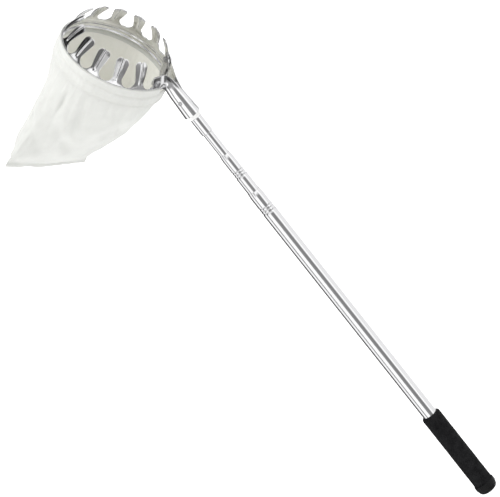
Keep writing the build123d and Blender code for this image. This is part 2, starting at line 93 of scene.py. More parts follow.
def hermite(t, start, first, end, last):
    """Smooth curve from start to end, with the tangents first and last."""
    return ((2 * t ** 3 - 3 * t ** 2 + 1) * start + (t ** 3 - 2 * t ** 2 + t) * first
            + (3 * t ** 2 - 2 * t ** 3) * end + (t ** 3 - t ** 2) * last)


def polar(reach, angle, height):
    return (reach * cos(angle), reach * sin(angle), height)


def from_pole(azimuth):
    """Degrees between an azimuth and the pole."""
    return abs((azimuth + 180) % 360 - 180)


# ---------------- node helpers
class Nodes:
    """A short way to write a node tree."""

    def __init__(self, tree):
        self.tree = tree
        self.tree.nodes.clear()

    def add(self, kind, inputs=(), **settings):
        node = self.tree.nodes.new(kind)
        for name, value in settings.items():
            setattr(node, name, value)
        for key, value in dict(inputs).items():
            socket = node.inputs[key]
            if isinstance(value, bpy.types.NodeSocket):
                self.tree.links.new(value, socket)
            else:
                socket.default_value = value
        return node

    def maths(self, operation, first, second=0.0, third=0.0):
        inputs = {0: first, 1: second, 2: third}
        return self.add("ShaderNodeMath", inputs, operation=operation).outputs[0]

    def ramp(self, factor, stops):
        node = self.add("ShaderNodeValToRGB", {"Fac": factor})
        elements = node.color_ramp.elements
        while len(elements) < len(stops):
            elements.new(0.5)
        for element, (place, value) in zip(elements, stops):
            element.position = place
            colour = value if isinstance(value, tuple) else (value, value, value)
            element.color = (*colour, 1)
        return node.outputs["Color"]

    def noise(self, vector, scale, detail=3.0, roughness=0.5):
        inputs = {"Vector": vector, "Scale": scale, "Detail": detail, "Roughness": roughness}
        return self.add("ShaderNodeTexNoise", inputs).outputs["Fac"]

    def stretched(self, vector, scale):
        return self.add("ShaderNodeMapping", {"Vector": vector, "Scale": scale}).outputs["Vector"]

    def bump(self, height, strength, distance, **inner):
        inputs = {"Height": height, "Strength": strength, "Distance": distance, **inner}
        return self.add("ShaderNodeBump", inputs).outputs["Normal"]

    def dot(self, ray, axis):
        inputs = {0: ray, 1: axis}
        return self.add("ShaderNodeVectorMath", inputs, operation="DOT_PRODUCT").outputs["Value"]

    def levels(self, place, stops, start=0.0, span=1.0):
        """A ramp of plain levels, which may be brighter than 1."""
        top = max(level for _, level in stops)
        shares = [((spot - start) / span, level / top) for spot, level in stops]
        return self.maths("MULTIPLY", self.ramp(place, shares), top)

    def range(self, value, low, high, **settings):
        inputs = {"Value": value, "From Min": low, "From Max": high}
        return self.add("ShaderNodeMapRange", inputs, **settings).outputs["Result"]

    def dimmed(self, level, mask, dark):
        """The level, multiplied by dark where the mask is 1."""
        return self.maths("MULTIPLY", level, self.maths("MULTIPLY_ADD", mask, dark - 1.0, 1.0))


def new_material(name):
    material = bpy.data.materials.new(name)
    material.use_nodes = True
    nodes = Nodes(material.node_tree)
    where = nodes.add("ShaderNodeTexCoord").outputs["Object"]
    return material, nodes, where


def finish_material(nodes, **inputs):
    named = {key.replace("_", " "): value for key, value in inputs.items()}
    shader = nodes.add("ShaderNodeBsdfPrincipled", named)
    nodes.add("ShaderNodeOutputMaterial", {"Surface": shader.outputs["BSDF"]})


# ---------------- materials
THREAD_PITCH = 0.9          # millimetres of cloth for two threads of the weave


def surface(name, haze, grain, colours, roughness, bump, lined=False, **constants):
    """Material with hazy patches and a finer grain: noises of scale, detail and roughness.

    A lined one takes its colour from the grain instead of the haze.
    """
    material, nodes, where = new_material(name)
    hazed, grained = (nodes.noise(nodes.stretched(where, scale), 1.0, *rest)
                      for scale, *rest in (haze, grain))
    colour = nodes.ramp(grained if lined else hazed, colours)
    finish_material(nodes, Base_Color=colour, Roughness=nodes.ramp(hazed, roughness),
                    Normal=nodes.bump(grained, *bump), **constants)
    return material


def dull_steel(name, light, dark):
    """Zinc-plated or plain steel: grey, uneven, slightly spangled."""
    return surface(name, ((420, 420, 420), 5.0, 0.6), ((3000, 3000, 3000), 2.0),
                   [(0.3, dark), (0.7, light)], [(0.3, 0.42), (0.7, 0.26)], (0.25, 0.0001),
                   Metallic=1.0)


def moulded_plastic(name, light, dark, specular=0.5):
    """Moulded plastic with a fine spark-eroded texture and slight wear."""
    return surface(name, ((90, 90, 90), 3.0), ((2600, 2600, 2600), 2.0),
                   [(0.35, dark), (0.7, light)], [(0.3, 0.36), (0.7, 0.48)], (0.3, 0.00012),
                   Specular_IOR_Level=specular)


def foam():
    """Closed-cell foam sleeve: black, finely pitted, cell walls catching the light."""
    material, nodes, where = new_material("black_cell_foam")
    cells = nodes.add("ShaderNodeTexVoronoi", {"Vector": where, "Scale": 620.0}).outputs["Distance"]
    pits = nodes.noise(where, 1100.0, 4.0, 0.65)
    patches = nodes.noise(where, 130.0, 3.0)
    mottle = nodes.maths("MULTIPLY", pits, nodes.maths("ADD", patches, 0.5))
    colour = nodes.ramp(mottle, [(0.35, (0.004, 0.004, 0.0045)), (0.62, (0.016, 0.016, 0.017))])
    inner = nodes.bump(cells, 0.6, 0.0006)
    normal = nodes.bump(pits, 0.8, 0.0005, Normal=inner)
    finish_material(nodes, Base_Color=colour, Roughness=0.75, Specular_IOR_Level=0.08,
                    Normal=normal)
    return material


def cotton(name, light, shade):
    """Plain-woven cotton: warp and weft threads, slubs, soft colour variation."""
    material, nodes, _ = new_material(name)
    cloth = nodes.add("ShaderNodeUVMap", uv_map="cloth").outputs["UV"]
    parts = nodes.add("ShaderNodeSeparateXYZ", {"Vector": cloth})
    turns_per_mm = 2 * pi / THREAD_PITCH
    weave = nodes.maths("MULTIPLY", *(
        nodes.maths("SINE", nodes.maths("MULTIPLY", parts.outputs[axis], turns_per_mm))
        for axis in ("X", "Y")))
    slubs = nodes.noise(nodes.stretched(cloth, (0.9, 0.12, 1.0)), 1.0, 3.0)
    blotches = nodes.noise(cloth, 0.045, 3.0)
    height = nodes.maths("MULTIPLY_ADD", slubs, 1.2, weave)
    colour = nodes.ramp(blotches, [(0.3, shade), (0.7, light)])
    normal = nodes.bump(height, 0.35, 0.00025)
    finish_material(nodes, Base_Color=colour, Roughness=0.9, Sheen_Weight=0.25, Sheen_Roughness=0.5,
                    Normal=normal)
    return material


# polished stamped sheet: faint haze, fine random scratches and a few duller smudges
SHEET_STEEL = surface("polished_sheet_steel", ((55, 55, 55), 4.0), ((900, 900, 90), 5.0, 0.7),
                      [(0.3, (0.86, 0.86, 0.865)), (0.7, (0.80, 0.80, 0.81))],
                      [(0.35, 0.09), (0.62, 0.17), (0.75, 0.24)], (0.06, 0.0004), Metallic=1.0)
# polished drawn tube: long fine lines along the axis, handling haze
TUBE_STEEL = surface("drawn_tube_steel", ((60, 60, 14), 4.0), ((2600, 2600, 9), 3.0, 0.6),
                     [(0.3, (0.78, 0.78, 0.79)), (0.7, (0.84, 0.84, 0.85))],
                     [(0.35, 0.10), (0.65, 0.17), (0.8, 0.22)], (0.05, 0.0003), lined=True,
                     Metallic=1.0)
PLATE_STEEL = dull_steel("plain_plate_steel", (0.66, 0.66, 0.67), (0.5, 0.5, 0.51))
ZINC = dull_steel("dull_zinc", (0.62, 0.62, 0.63), (0.4, 0.4, 0.405))
NYLON = moulded_plastic("white_nylon", (0.93, 0.93, 0.92), (0.89, 0.89, 0.88))
CAP_PLASTIC = moulded_plastic("black_cap_plastic", (0.009, 0.009, 0.0095), (0.005, 0.005, 0.0055),
                              0.14)
FOAM = foam()
COTTON = cotton("white_cotton", (0.735, 0.742, 0.712), (0.685, 0.692, 0.662))
# the bag's inside: the same cotton painted lighter and creamier, painted light for the light that
# comes through the cloth and in at the mouth
COTTON_INSIDE_PAINTED_LIGHT = cotton("cotton_inside_painted_light", (0.955, 0.95, 0.895), (0.935, 0.93, 0.865))
THREAD = cotton("sewing_thread", (0.8, 0.8, 0.77), (0.7, 0.7, 0.66))
ELASTIC = cotton("elastic_braid", (0.83, 0.82, 0.78), (0.72, 0.71, 0.67))


# ---------------- mesh helpers
def linked(name, data):
    obj = bpy.data.objects.new(name, data)
    bpy.context.scene.collection.objects.link(obj)
    return obj


def turns(count):
    """Angles of a full circle's points."""
    return [2 * pi * step / count for step in range(count)]


def azimuths(count):
    """The same in degrees."""
    return [360 * step / count for step in range(count)]


class Shape:
    """Points, in millimetres of a local frame, and faces, gathered grid by grid."""

    def __init__(self, points=(), faces=()):
        self.points, self.faces = list(points), list(faces)

    def grid(self, rows, wrap=False, loop=False, flip=False):
        """Add rows of points, with quads between them.

        wrap joins the last column to the first, and loop the last row to the first.
        """
        start, count, columns = len(self.points), len(rows), len(rows[0])
        for row in range(count if loop else count - 1):
            low, high = start + row * columns, start + (row + 1) % count * columns
            for column in range(columns if wrap else columns - 1):
                after = (column + 1) % columns
                quad = (low + column, low + after, high + after, high + column)
                self.faces.append(quad[::-1] if flip else quad)
        self.points += [point for row in rows for point in row]
        return self

    def build(self, name, materials, matrix=RING_MATRIX, sharp=35.0, smooth=True):
        """New mesh object; edges that turn by more than sharp degrees stay crisp."""
        mesh = bpy.data.meshes.new(name)
        mesh.from_pydata((np.asarray(self.points, float) * MM).tolist(), [], self.faces)
        mesh.validate()
        obj = linked(name, mesh)
        obj.matrix_world = matrix
        for material in materials:
            mesh.materials.append(material)
        if smooth:
            mesh.polygons.foreach_set("use_smooth", [True] * len(mesh.polygons))
            mesh.set_sharp_from_angle(angle=radians(sharp))
        return obj


def weld(obj, distance):
    """Merge points closer than a distance in millimetres."""
    work = bmesh.new()
    work.from_mesh(obj.data)
    bmesh.ops.remove_doubles(work, verts=work.verts, dist=distance * MM)
    work.to_mesh(obj.data)
    work.free()
    return obj


def modify(obj, kind, **settings):
    modifier = obj.modifiers.new(kind.lower(), kind)
    for name, value in settings.items():
        setattr(modifier, name, value)
    return modifier


def apply_modifiers(obj):
    """Replace the object's mesh by its evaluated one."""
    graph = bpy.context.evaluated_depsgraph_get()
    final = bpy.data.meshes.new_from_object(obj.evaluated_get(graph))
    obj.modifiers.clear()
    obj.data = final
    return obj


def thicken(obj, offset, edge=0.28, segments=3):
    """Give a formed sheet its thickness and round its edges."""
    modify(obj, "SOLIDIFY", thickness=SHEET * MM, offset=offset)
    modify(obj, "BEVEL", width=edge * MM, segments=segments, angle_limit=radians(50))
    return apply_modifiers(obj)


def rounded(profile, steps=4):
    """Profile points (station, radius) or (station, radius, corner) with each corner rounded."""
    points = []
    for index, (station, radius, *corner) in enumerate(profile):
        here = np.array((station, radius), float)
        if not corner:
            points.append(here)
            continue
        ends = []
        for other in (profile[index - 1], profile[(index + 1) % len(profile)]):
            away = np.array(other[:2], float) - here
            ends.append(here + away / np.linalg.norm(away) * corner[0])
        points += [ends[0] * (1 - t) ** 2 + here * 2 * t * (1 - t) + ends[1] * t ** 2
                   for t in np.linspace(0, 1, steps + 1)]
    return points


def dome(base, height, radius, steps, power=1.0):
    """Profile points of a domed head, from its rim to just short of its top."""
    rises = [radians(90) * step / steps for step in range(1, steps)]
    return [(base + height * sin(rise), radius * cos(rise) ** power) for rise in rises]


def lathe(name, profile, material, segments=96, closed=True, matrix=POLE_MATRIX):
    """Turned piece from a profile of (station, radius[, corner]) round the frame's Z axis."""
    rings = [[polar(radius, angle, station) for angle in turns(segments)]
             for station, radius in rounded(profile)]
    shape = Shape().grid(rings, wrap=True, loop=closed)
    return weld(shape.build(name, [material], matrix, 40.0), 0.001)


def joined(name, parts):
    """One object out of several."""
    bpy.ops.object.select_all(action="DESELECT")
    for part in parts:
        part.select_set(True)
    bpy.context.view_layer.objects.active = parts[0]
    bpy.ops.object.join()
    result = bpy.context.view_layer.objects.active
    result.name = name
    result.data.name = name
    return result


def hand_over(obj, body, slot, *nodes):
    """Put a finished piece on its body, in place of its CAD nodes."""
    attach(obj, body)
    if nodes:
        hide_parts(*nodes)
    return obj


# ---------------- crown
RING_RADIUS = 71.2
SHEET = 1.2
BAND_DEPTH = 13.0
BEAD_RADIUS = 1.3
BEAD_END = 38.0             # the bead's ends, in degrees from the pole
CROWN_BEND = 72.0
CROWN_LEAN = radians(12.0)
BEND_X = RING_RADIUS - CROWN_BEND * cos(CROWN_LEAN)
BEND_Z = -CROWN_BEND * sin(CROWN_LEAN)
FINGER_PITCH = 25.0
FINGERS_MIDDLE = 181.9
GAP_RADIUS = 9.1
TIP_GAP = 4.6
TIP_ROUND = 5.0
TIP_FOOT = CROWN_HEIGHT - TIP_ROUND
STRIP_END = 20.6            # the strip's ends, in degrees from the pole
TAB_HEIGHT = 14.0
END_GAP_LIFT = 8.0
RIB_HEIGHT = 1.0            # pressed rib up the middle of each finger
RIB_HALF = 2.3
FLANK_FOLD = 0.8            # how far a finger's edges fold inwards
BAND_RIB = 0.75             # pressed rib round the band
BAND_RIB_MIDDLE = -6.2
BAND_RIB_HALF = 2.2


def crown_radius(height, skin=0.0):
    """Radius of the crown's outer face at a height, skin further out."""
    if height <= 0:
        return RING_RADIUS + skin
    return BEND_X + sqrt((CROWN_BEND + skin) ** 2 - (height - BEND_Z) ** 2)


def gap_half_width(height):
    """Half the width of a gap between two fingers at a height above its bottom."""
    if height <= 0:
        return 0.0
    if height < GAP_RADIUS:
        return sqrt(GAP_RADIUS ** 2 - (GAP_RADIUS - height) ** 2)
    if height < TIP_FOOT:
        return GAP_RADIUS + (TIP_GAP - GAP_RADIUS) * (height - GAP_RADIUS) / (TIP_FOOT - GAP_RADIUS)
    rise = min(height - TIP_FOOT, TIP_ROUND)
    return TIP_GAP + TIP_ROUND - sqrt(TIP_ROUND ** 2 - rise ** 2)


def crown_heights():
    """Heights of the crown's rows: close together where a gap's outline turns quickly."""
    quarter = radians(90)
    return ([GAP_RADIUS * (1 - cos(quarter * step / 14)) for step in range(15)]
            + [GAP_RADIUS + (TIP_FOOT - GAP_RADIUS) * step / 10 for step in range(1, 11)]
            + [TIP_FOOT + TIP_ROUND * sin(quarter * step / 9) for step in range(1, 10)])


def rib(distance, half, height):
    """Rounded rib of a pressed sheet at a distance from its middle."""
    return height * (0.5 + 0.5 * cos(pi * min(abs(distance) / half, 1)))


def finger_columns():
    """Column places across a finger, -1 to 1, close together on its rib."""
    return [np.sign(step) * (abs(step) / 12) ** 1.35 for step in range(-12, 13)]


def finger(count, heights, low_gap=gap_half_width):
    """Rows of points of a finger's outer face; its gap on the low-azimuth side may be lifted."""
    rows = []
    for height in heights:
        radius = crown_radius(height)
        pressed = smoothstep(2.0, 11.0, height)
        row = []
        for share in finger_columns():
            gap = gap_half_width(height) if share > 0 else low_gap(height)
            offset = share * (FINGER_PITCH / 2 - degrees(asin(gap / radius)))
            skin = rib(radians(offset) * radius, RIB_HALF, RIB_HEIGHT * pressed)
            skin -= FLANK_FOLD * pressed * abs(share)
            azimuth = FINGERS_MIDDLE + FINGER_PITCH * count + offset
            row.append(polar(radius + skin, radians(azimuth), height))
        rows.append(row)
    return rows


def band_azimuths():
    """Azimuths of the band's columns, from end to end of the strip: those of the fingers above."""
    places = set()
    for count in range(-6, 7):
        middle = FINGERS_MIDDLE + FINGER_PITCH * count
        places.update(round(middle + share * FINGER_PITCH / 2, 6) for share in finger_columns())
    places = {place for place in places if STRIP_END < place < 360 - STRIP_END}
    places.update(tab_azimuths(0.0) + [STRIP_END, 360 - STRIP_END])
    return sorted(places)


def bead():
    """Rolled bead along the band's lower edge, closed round at both ends."""
    steps, closing = 300, 6
    rings = []
    for step in range(steps + 1):
        angle = radians(BEAD_END + (360 - 2 * BEAD_END) * step / steps)
        share = min(step, steps - step, closing) / closing
        size = BEAD_RADIUS * sqrt(1 - (1 - share) ** 2)
        rings.append([polar(RING_RADIUS - SHEET / 2 + size * cos(turn), angle,
                            size * sin(turn) - BAND_DEPTH) for turn in turns(14)])
    return Shape().grid(rings, wrap=True).build("bead_roll", [SHEET_STEEL])


def band():
    """Rows of points of the band under the gaps, with its pressed rib."""
    rows = []
    for height in np.linspace(0, -BAND_DEPTH, 22):
        reach = RING_RADIUS + rib(height - BAND_RIB_MIDDLE, BAND_RIB_HALF, BAND_RIB)
        rows.append([polar(reach, radians(azimuth), height) for azimuth in band_azimuths()])
    return rows


def crown():
    """The stamped strip, as one sheet with rounded edges, and its rolled bead."""
    heights = crown_heights()
    shape = Shape()
    for count in range(-5, 6):
        shape.grid(finger(count, heights))
    lifted = [END_GAP_LIFT + rise for rise in heights if END_GAP_LIFT + rise <= CROWN_HEIGHT]
    shape.grid(finger(-6, sorted(set(heights + lifted)),
                      lambda height: gap_half_width(height - END_GAP_LIFT)))
    tab = [height for height in heights if height < TAB_HEIGHT] + [TAB_HEIGHT]
    shape.grid([[polar(crown_radius(height), radians(azimuth), height)
                 for azimuth in tab_azimuths(height)] for height in tab])
    shape.grid(band())
    sheet = weld(shape.build("finger_ring_sheet", [SHEET_STEEL]), 0.03)
    return joined("crown", [thicken(sheet, -1.0), bead()])


def tab_azimuths(height):
    """Columns of the plain tab under the near screw, from its gap's edge to the strip's end."""
    gap = degrees(asin(gap_half_width(height) / crown_radius(height)))
    edge = FINGERS_MIDDLE + FINGER_PITCH * 5.5 + gap
    return np.linspace(edge, 360 - STRIP_END, 16).tolist()


# ---------------- socket
EAR_EDGE = 36.0
EAR_LOW = -5.0
EAR_HIGH = 14.0
EAR_ROUND = 3.5
WING_AZIMUTH = 20.2
WALL_SEAT = 0.10
THROAT = 21.6
SOCKET_END = 52.5
THROAT_RADIUS = 9.1
MOUTH_RADIUS = 10.5
SOCKET_COLUMNS = 29
SEAM_HALF = 0.5
SLOT_MIDDLE = 43.5
SLOT_HALF = 6.5
SLOT_WIDTH = 2.6
WING_PULL = 34.0            # length of the tangents that shape the wing


def ring_to_pole(point):
    """A ring-frame point, in millimetres, in the pole's local frame."""
    world = RING_CENTRE + Vector(point) * MM
    return np.array(POLE_MATRIX.inverted() @ world) / MM


def ear_point(azimuth, share, side):
    """Point of an ear's middle surface; share runs from its top edge, 0, to its bottom, 1."""
    height = EAR_HIGH + (EAR_LOW - EAR_HIGH) * share
    radius = crown_radius(height, WALL_SEAT + SHEET / 2)
    return ring_to_pole(polar(radius, radians(azimuth) * side, height))


def slot_half_width(station):
    """Half width of the open seam along the tube's top, with its slot."""
    end_round = SLOT_WIDTH / 2
    past = abs(station - SLOT_MIDDLE) - (SLOT_HALF - end_round)
    if past <= 0:
        return end_round
    if past >= end_round:
        return SEAM_HALF
    return max(SEAM_HALF, sqrt(end_round ** 2 - past ** 2))


def tube_point(station, share, side):
    """Point of the socket's tube; share runs from the seam on top, 0, round to the bottom, 1."""
    along = (station - THROAT) / (SOCKET_END - THROAT)
    radius = THROAT_RADIUS + (MOUTH_RADIUS - THROAT_RADIUS) * along
    first = asin(slot_half_width(station) / radius)
    angle = first + (pi - first) * share
    return np.array(polar(radius, side * angle, station))


def wing_point(progress, share, side):
    """Point of a wing, on a smooth curve from the ear's tangent to the tube's."""
    start = ear_point(WING_AZIMUTH, share, side)
    end = tube_point(THROAT, share, side)
    ahead = ear_point(WING_AZIMUTH - 1, share, side) - start
    first = ahead / np.linalg.norm(ahead) * WING_PULL
    return hermite(progress, start, first, end, np.array((0, 0, WING_PULL)))


def socket_half(side):
    """Rows of points of one ear, its wing and its half of the tube."""
    columns = np.linspace(0, 1, SOCKET_COLUMNS)
    rows = []
    for azimuth in np.linspace(EAR_EDGE, WING_AZIMUTH, 16)[:-1]:
        inset = EAR_ROUND - (EAR_EDGE - azimuth) * radians(1) * RING_RADIUS
        cut = EAR_ROUND - sqrt(max(EAR_ROUND ** 2 - inset ** 2, 0)) if inset > 0 else 0
        trim = cut / (EAR_HIGH - EAR_LOW)
        rows.append([ear_point(azimuth, trim + (1 - 2 * trim) * share, side) for share in columns])
    rows += [[wing_point(progress, share, side) for share in columns]
             for progress in np.linspace(0, 1, 26)[:-1]]
    rows += [[tube_point(station, share, side) for share in columns]
             for station in socket_stations()]
    return rows


def socket_stations():
    """Stations of the tube's rows: even ones, and closer ones round the slot's ends."""
    stations = np.linspace(THROAT, SOCKET_END, 20).tolist()
    for end in (-1, 1):
        for step in range(7):
            turn = radians(90) * step / 6
            stations.append(SLOT_MIDDLE + end * (SLOT_HALF - SLOT_WIDTH / 2 * (1 - sin(turn))))
    return sorted(set(round(station, 4) for station in stations))


def socket():
    """Formed sheet: two ears, two wings and one tube with an open seam."""
    shape = Shape().grid(socket_half(-1), flip=True).grid(socket_half(1))
    sheet = shape.build("socket_sheet", [SHEET_STEEL], POLE_MATRIX)
    return thicken(weld(sheet, 0.05), 0.0)


# ---------------- fasteners
SCREW_AZIMUTH = 28.5
SCREW_HEIGHT = 5.5
HEAD_RADIUS = 4.3
HEAD_HEIGHT = 2.6
HEAD_RIM = 0.5
HEAD_SKIN = WALL_SEAT + SHEET + 0.02
DRIVE_WIDTH = 1.1
DRIVE_DEPTH = 1.2
SHANK_RADIUS = 2.0
PLATE_OUTER = -SHEET - WALL_SEAT
PLATE_LOW = -21.0
PLATE_HIGH = 13.0
PLATE_HALF = 5.2
PLATE_CORNER = 4.4
PLATE_TOP_CORNER = 0.8
NUT_FACE = -SHEET * 2 - WALL_SEAT - 0.16
NUT_SIZE = 7.0
NUT_HEIGHT = 3.2
NUT_CHAMFER = 0.45
SHANK_END = NUT_FACE - NUT_HEIGHT - 0.8
RIVET_STATION = 30.6
RIVET_SEAT = 10.3
RIVET_HEAD = 2.6
RIVET_HEAD_HEIGHT = 1.3


def screw_matrix(side, turn):
    """Local frame of a wing screw: origin on the crown's outer face, Z squarely outwards."""
    azimuth = radians(side * SCREW_AZIMUTH)
    tilt = asin((SCREW_HEIGHT - BEND_Z) / CROWN_BEND)
    outwards = Vector(polar(cos(tilt), azimuth, sin(tilt)))
    across = Vector((-sin(azimuth), cos(azimuth), 0))
    spot = Vector(polar(BEND_X + CROWN_BEND * cos(tilt), azimuth, SCREW_HEIGHT))
    square = placed(RING_CENTRE + spot * MM, across, outwards.cross(across), outwards)
    return square @ Matrix.Rotation(radians(turn), 4, "Z")


def cut_box(obj, size, matrix):
    """Subtract a box, in millimetres, standing in the given frame."""
    half = np.array(size) / 2
    corners = [half * (x, y, z) for z in (-1, 1) for y in (-1, 1) for x in (-1, 1)]
    sides = [(0, 2, 3, 1), (4, 5, 7, 6), (0, 1, 5, 4), (2, 6, 7, 3), (0, 4, 6, 2), (1, 3, 7, 5)]
    cutter = Shape(corners, sides).build("cutter", [], matrix, smooth=False)
    modify(obj, "BOOLEAN", operation="DIFFERENCE", object=cutter, solver="EXACT")
    apply_modifiers(obj)
    bpy.data.objects.remove(cutter)
    return obj


def wing_screw(side, turn):
    """Round-head slotted screw with a plain shank."""
    top = HEAD_SKIN + HEAD_HEIGHT
    rim = HEAD_SKIN + HEAD_RIM
    profile = [(SHANK_END, 0.0), (SHANK_END, SHANK_RADIUS, 0.4), (HEAD_SKIN, SHANK_RADIUS),
               (HEAD_SKIN, HEAD_RADIUS, 0.25), (rim, HEAD_RADIUS),
               *dome(rim, HEAD_HEIGHT - HEAD_RIM, HEAD_RADIUS, 10, 0.8), (top, 0.0)]
    head = lathe("screw_side", profile, ZINC, 48, closed=False, matrix=screw_matrix(side, 0))
    cut_height = 2.0
    lift = Matrix.Translation((0, 0, (top - DRIVE_DEPTH + cut_height / 2) * MM))
    return cut_box(head, (12.0, DRIVE_WIDTH, cut_height), screw_matrix(side, turn) @ lift)


def wing_nut(side, turn):
    """Hexagon nut with chamfered corners, cut by a cone as real ones are."""
    corner = NUT_SIZE / 2 / cos(radians(30))
    back = NUT_FACE - NUT_HEIGHT
    slope = NUT_CHAMFER * 0.6
    thread, mouth = SHANK_RADIUS + 0.04, SHANK_RADIUS + 0.35
    rings = [(NUT_FACE, mouth), (NUT_FACE, corner - NUT_CHAMFER), (NUT_FACE - slope, corner),
             (back + slope, corner), (back, corner - NUT_CHAMFER), (back, mouth),
             (back + 0.35, thread), (NUT_FACE - 0.35, thread)]
    flats = [(angle, NUT_SIZE / 2 / cos((angle + radians(30)) % radians(60) - radians(30)))
             for angle in turns(72)]
    rows = [[polar(min(radius, flat), angle, height) for angle, flat in flats]
            for height, radius in rings]
    shape = Shape().grid(rows, wrap=True, loop=True, flip=True)
    return shape.build("nut_side", [ZINC], screw_matrix(side, turn), 25.0)


def backing_plate(side):
    """Tongue of plain sheet inside the ring, rounded at its lower end."""
    rows = []
    for height in np.linspace(PLATE_HIGH, PLATE_LOW, 40):
        half = PLATE_HALF
        for end, size in ((height - PLATE_LOW, PLATE_CORNER),
                          (PLATE_HIGH - height, PLATE_TOP_CORNER)):
            if end < size:
                half = min(half, PLATE_HALF - size + sqrt(size ** 2 - (size - end) ** 2))
        radius = crown_radius(height, PLATE_OUTER)
        rows.append([polar(radius, radians(side * SCREW_AZIMUTH) + column * half / radius, height)
                     for column in np.linspace(-1, 1, 15)])
    plate = Shape().grid(rows).build("plate_side", [PLATE_STEEL])
    return thicken(plate, 1.0, 0.2, 2)


def rivet():
    """Cross rivet with two low domed heads."""
    matrix = (POLE_MATRIX @ Matrix.Translation((0, 0, RIVET_STATION * MM))
              @ Matrix.Rotation(radians(-90), 4, "X"))
    rim = 0.25
    half = [(RIVET_SEAT, 1.6), (RIVET_SEAT, RIVET_HEAD, 0.2),
            *dome(RIVET_SEAT + rim, RIVET_HEAD_HEIGHT - rim, RIVET_HEAD, 7),
            (RIVET_SEAT + RIVET_HEAD_HEIGHT, 0.0)]
    other = [(-point[0], *point[1:]) for point in reversed(half)]
    return lathe("cross_rivet_dome", other + half, ZINC, 40, closed=False, matrix=matrix)


# ---------------- pole
TOP_RADIUS = 6.5
MIDDLE_RADIUS = 8.0
HANDLE_RADIUS = 9.5
NECK_STEP = 0.4
CRIMP_PITCH = 4.0
CRIMP_DEPTH = 0.5
CRIMP_HALF = 1.3
GRIP_START = 548.0
GRIP_END = 660.0
FOAM_RADIUS = 12.7
BORE = 6.53                 # of the bush and ferrule round the top tube
BUSH_START = 24.0
BUSH_END = 58.0
FERRULE_END = 83.3
TOP_START = 20.0
TOP_REAR = 530.0
TOP_WALL = 0.6
SLIDE_PLAY = 0.05


def crimps(first, radius):
    """Three rolled grooves as smooth dips of the profile."""
    return [(first + CRIMP_PITCH * count + CRIMP_HALF * step / 6,
             radius - CRIMP_DEPTH * (0.5 + 0.5 * cos(pi * step / 6)))
            for count in range(3) for step in range(-6, 7)]


def outer_tube(name, mouth, neck, shoulder, radius, rear, wall, guide, groove=None):
    """A tube that another slides in: rolled mouth, neck, three crimps, full body and open bore."""
    slim = radius - NECK_STEP
    first = shoulder + 2.5
    full = first + 2 * CRIMP_PITCH + 1.2
    profile = [(mouth, slim - 0.75, 0.35), (neck, slim, 1.5), (shoulder, slim),
               *crimps(first, slim), (full + 0.8, radius, 0.4), *clip_groove(groove, radius),
               (rear, radius, 0.2), (rear, radius - wall, 0.2),
               *clip_groove(groove, radius - wall)[::-1],
               (full + 3.0, radius - wall), (full, guide), (mouth, guide, 0.3)]
    return lathe(name, profile, TUBE_STEEL, 128)


def clip_groove(groove, radius):
    """Profile points of the groove that holds a clip, if there is one."""
    if not groove:
        return []
    start, end, depth = groove
    return [(start, radius, 0.15), (start, radius - depth, 0.15), (end, radius - depth, 0.15),
            (end, radius, 0.15)]


def top_tube():
    groove = (TOP_REAR - 16.0, TOP_REAR - 2.0, 0.4)
    inner = TOP_RADIUS - TOP_WALL
    profile = [(TOP_START, TOP_RADIUS, 0.2), *clip_groove(groove, TOP_RADIUS),
               (TOP_REAR, TOP_RADIUS, 0.2), (TOP_REAR, inner, 0.2),
               *clip_groove(groove, inner)[::-1], (TOP_START, inner, 0.2)]
    return lathe("top_tube_drawn", profile, TUBE_STEEL, 112)


def bush():
    """Moulded bush between the top tube and the socket, its collar outside the socket's mouth."""
    profile = [(BUSH_START, BORE, 0.2), (BUSH_START, 8.2, 0.4), (SOCKET_END, 9.6),
               (SOCKET_END, 8.4), (BUSH_END - 0.4, 8.4, 0.5), (BUSH_END, 7.6, 0.2), (BUSH_END, BORE)]
    return lathe("bush_moulded", profile, NYLON)


def ferrule():
    profile = [(BUSH_END, BORE), (BUSH_END, 7.3, 0.15), (BUSH_END + 0.5, 7.7, 0.3),
               (FERRULE_END - 0.8, 7.7, 0.4), (FERRULE_END, 7.1, 0.3), (FERRULE_END, BORE)]
    return lathe("ferrule_turned", profile, TUBE_STEEL)


def foam_grip():
    """Foam sleeve with an uneven, pitted skin."""
    rows = []
    for station in np.linspace(GRIP_START, GRIP_END, 191):
        lip = max(0.0, 1 - (station - GRIP_START) / 2.2)
        row = []
        for angle in turns(144):
            spot = Vector(polar(12, angle, station))
            rough = noise.noise(spot * 0.9) * 0.10 + noise.noise(spot * 0.22) * 0.10
            row.append(polar(FOAM_RADIUS - 1.5 * lip ** 2 + rough * (1 - lip), angle, station))
        rows.append(row)
    rows += [[polar(HANDLE_RADIUS + 0.03, angle, station) for angle in turns(144)]
             for station in (GRIP_END, GRIP_START)]
    shape = Shape().grid(rows, wrap=True, loop=True, flip=True)
    return weld(shape.build("foam_sleeve", [FOAM], POLE_MATRIX, 50.0), 0.001)


def end_cap():
    """Moulded cap: spigot in the tube, rim, dome and a shallow dished end."""
    spigot_start, spigot, rim = GRIP_END - 18.0, 8.67, 13.8
    foot, top = GRIP_END + 7.0, GRIP_END + 14.0
    profile = [(spigot_start, 0.0), (spigot_start, spigot, 0.5), (GRIP_END, spigot),
               (GRIP_END, rim - 0.5), (GRIP_END + 0.5, rim, 0.2), (foot - 0.7, rim, 0.3),
               (foot, 13.1, 0.2), (foot + 1.6, 12.95), (foot + 3.4, 12.4), (foot + 5.0, 11.4),
               (top - 0.8, 10.0), (top - 0.15, 8.6), (top, 8.0, 0.15), (top - 0.5, 7.0, 0.5),
               (top - 0.7, 0.0)]
    return lathe("end_cap_moulded", profile, CAP_PLASTIC, 96, closed=False)


